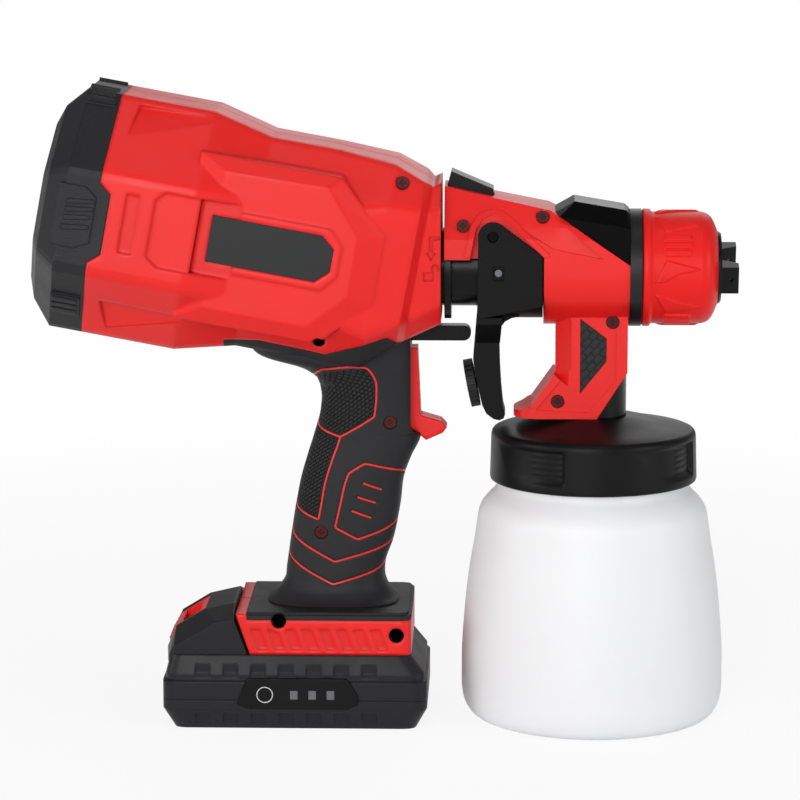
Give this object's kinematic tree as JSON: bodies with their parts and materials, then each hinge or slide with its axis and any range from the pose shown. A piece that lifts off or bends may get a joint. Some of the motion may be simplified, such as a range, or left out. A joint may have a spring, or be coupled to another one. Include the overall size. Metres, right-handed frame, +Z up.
{
  "type": "airless paint sprayer",
  "caption": "Cordless hand-held paint sprayer with a tilted fan body, rubber grip, slide-on battery, trigger head and a screw-on paint cup.",
  "frame": {"origin": "centre of the bounding box at the floor that the battery and the cup stand on", "axes": "+X towards the nozzle, +Z up, +Y to the gun's left"},
  "size_m": [0.3142, 0.118, 0.2875],
  "materials": {
    "red_shell": "satin moulded",
    "black_cap": "fine spark texture",
    "foam": "open foam",
    "red_trim": "screw heads deep in the shell",
    "rubber": "soft-touch overmould",
    "label": "bare satin plate",
    "inner_black": "plain moulded",
    "steel": "drawn",
    "brass": "plain",
    "wire": "sleeved leads",
    "white_rotor": "plain",
    "black_gloss": "semi-gloss moulded",
    "alloy": "turned",
    "clear_tube": "plain",
    "cup_plastic": "translucent, fine satin",
    "seal": "plain",
    "battery_black": "fine texture",
    "cell": "sleeved",
    "grey_lens": "smoked"
  },
  "bodies": {
    "gun": {"right_housing": "red_shell", "left_housing": "red_shell", "rear_cap": "black_cap", "intake_filter": "foam", "housing_screws": "red_trim", "grip_rubber_right": "rubber", "grip_rubber_left": "rubber", "label_plate": "label", "turbine_case": "inner_black", "motor_can": "steel", "motor_mount": "inner_black", "outlet_duct": "inner_black", "socket_seal": "rubber", "switch_body": "inner_black", "terminal_block": "brass", "wire_loom": "wire", "rod_spring": "steel"},
    "rotor": {"impeller": "white_rotor", "motor_shaft": "steel"},
    "switch": {"switch_rod": "black_gloss"},
    "collar": {"lock_collar": "alloy"},
    "head": {"head_shell_right": "red_shell", "head_shell_left": "red_shell", "barrel": "black_gloss", "nose_cover": "black_gloss", "nose_ring": "black_gloss", "fluid_body": "alloy", "fluid_nozzle": "alloy", "needle_seal": "brass", "trigger_pin": "black_gloss", "head_screws": "red_trim", "inset_pads": "rubber", "neck_tube": "black_gloss", "pickup_tube": "clear_tube", "cup_lid": "black_gloss", "cup_gasket": "seal", "button_spring": "steel", "needle_spring": "steel"},
    "button": {"release_button": "black_gloss"},
    "trigger": {"trigger": "black_gloss", "drive_screws": "steel"},
    "needle": {"needle": "steel"},
    "knob": {"flow_knob": "black_gloss"},
    "air_cap": {"air_cap": "black_gloss"},
    "nut": {"nozzle_nut": "red_shell"},
    "cup": {"cup": "cup_plastic"},
    "battery": {"battery_lower": "battery_black", "battery_upper": "battery_black", "battery_cells": "cell", "battery_contacts": "brass", "gauge_panel": "black_gloss", "gauge_windows": "grey_lens", "latch_spring": "steel"},
    "latch": {"battery_latch": "red_shell"}
  },
  "joints": [
    {"name": "impeller_spin", "type": "hinge", "parent": "gun", "child": "rotor", "pos_m": [-0.12345, 0, 0.23044], "axis": [0.9833, 0, -0.1822], "continuous": true},
    {"name": "head_twist", "type": "hinge", "parent": "gun", "child": "collar", "pos_m": [0, 0, 0.2046], "axis": [1, 0, 0], "range_deg": [0, 35]},
    {"name": "head_pull", "type": "slide", "parent": "collar", "child": "head", "axis": [1, 0, 0], "range_m": [0, 0.045]},
    {"name": "trigger_pull", "type": "hinge", "parent": "head", "child": "trigger", "pos_m": [0.0491, 0, 0.2206], "axis": [0, 1, 0], "range_deg": [0, 12], "stiffness_Nm_per_rad": 1.2, "springref_deg": -5.73},
    {"name": "needle_draw", "type": "slide", "parent": "head", "child": "needle", "axis": [-1, 0, 0], "range_m": [0, 0.004], "deforming": ["needle_spring"]},
    {"name": "rod_push", "type": "slide", "parent": "gun", "child": "switch", "axis": [-1, 0, 0], "range_m": [0, 0.01], "deforming": ["rod_spring"]},
    {"name": "flow_turn", "type": "hinge", "parent": "trigger", "child": "knob", "pos_m": [0.0384, 0, 0.1518], "axis": [0.9806, 0, 0.196], "range_deg": [0, 330]},
    {"name": "release_press", "type": "slide", "parent": "head", "child": "button", "axis": [0, 0, -1], "range_m": [0, 0.0025], "stiffness_N_per_m": 700, "springref_m": -0.002, "deforming": ["button_spring"]},
    {"name": "air_cap_turn", "type": "hinge", "parent": "head", "child": "air_cap", "pos_m": [0.145, 0, 0.2046], "axis": [1, 0, 0], "range_deg": [-15, 75]},
    {"name": "nut_turn", "type": "hinge", "parent": "head", "child": "nut", "pos_m": [0.13, 0, 0.2046], "axis": [1, 0, 0], "range_deg": [0, 180]},
    {"name": "cup_unscrew", "type": "hinge", "parent": "head", "child": "cup", "pos_m": [0.0946, 0, 0.1], "axis": [0, 0, -1], "range_deg": [0, 150]},
    {"name": "battery_slide", "type": "slide", "parent": "gun", "child": "battery", "axis": [-1, 0, 0], "range_m": [0, 0.075]},
    {"name": "latch_press", "type": "slide", "parent": "battery", "child": "latch", "axis": [0, 0, -1], "range_m": [0, 0.002], "stiffness_N_per_m": 800, "springref_m": -0.002, "deforming": ["latch_spring"]}
  ],
  "couplings": [
    {"joint": "needle_draw", "follows": "trigger_pull", "m_per_rad": 0.016},
    {"joint": "rod_push", "follows": "trigger_pull", "m_per_rad": 0.0455}
  ]
}
